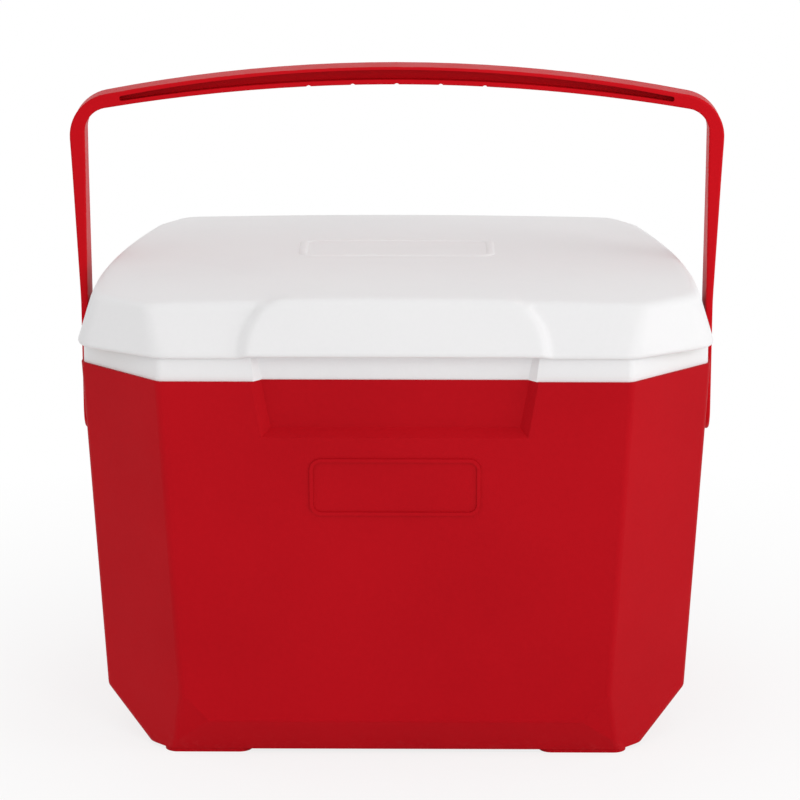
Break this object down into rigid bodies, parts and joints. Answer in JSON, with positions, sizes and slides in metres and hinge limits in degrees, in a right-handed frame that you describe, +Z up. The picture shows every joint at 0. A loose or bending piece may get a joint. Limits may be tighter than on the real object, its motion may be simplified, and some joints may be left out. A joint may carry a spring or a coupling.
{
  "type": "hard cooler with bail handle",
  "caption": "Small insulated hard cooler: red moulded body with cut corners, white collar and hinged domed lid, finger recess at the front and a swinging bail handle.",
  "frame": {"origin": "on the floor, below the middle of the body", "axes": "+X to the right along the front, +Y from the front to the hinged back, +Z up"},
  "size_m": [0.4074, 0.2855, 0.412],
  "materials": {
    "red_plastic": "satin",
    "white_plastic": "satin",
    "foam": "matte",
    "steel": "satin"
  },
  "bodies": {
    "body": {"outer_shell": "red_plastic", "inner_liner": "white_plastic", "body_foam": "foam", "hinge_base_left": "white_plastic", "hinge_base_right": "white_plastic", "hinge_pin_left": "steel", "hinge_pin_right": "steel", "hinge_base_screws": "steel", "pivot_stud_left": "red_plastic", "pivot_stud_right": "red_plastic", "pivot_washer_left": "white_plastic", "pivot_washer_right": "white_plastic", "pivot_screw_left": "steel", "pivot_screw_right": "steel"},
    "lid": {"lid_shell": "white_plastic", "lid_liner": "white_plastic", "lid_foam": "foam", "hinge_leaf_left": "white_plastic", "hinge_leaf_right": "white_plastic", "hinge_leaf_screws": "steel"},
    "bail": {"bail_handle": "red_plastic"}
  },
  "joints": [
    {"name": "lid_hinge", "type": "hinge", "parent": "body", "child": "lid", "pos_m": [0, 0.1415, 0.2575], "axis": [-1, 0, 0], "range_deg": [0, 30]},
    {"name": "bail_swing", "type": "hinge", "parent": "body", "child": "bail", "pos_m": [0, 0, 0.196], "axis": [1, 0, 0], "range_deg": [-135, 135]}
  ]
}
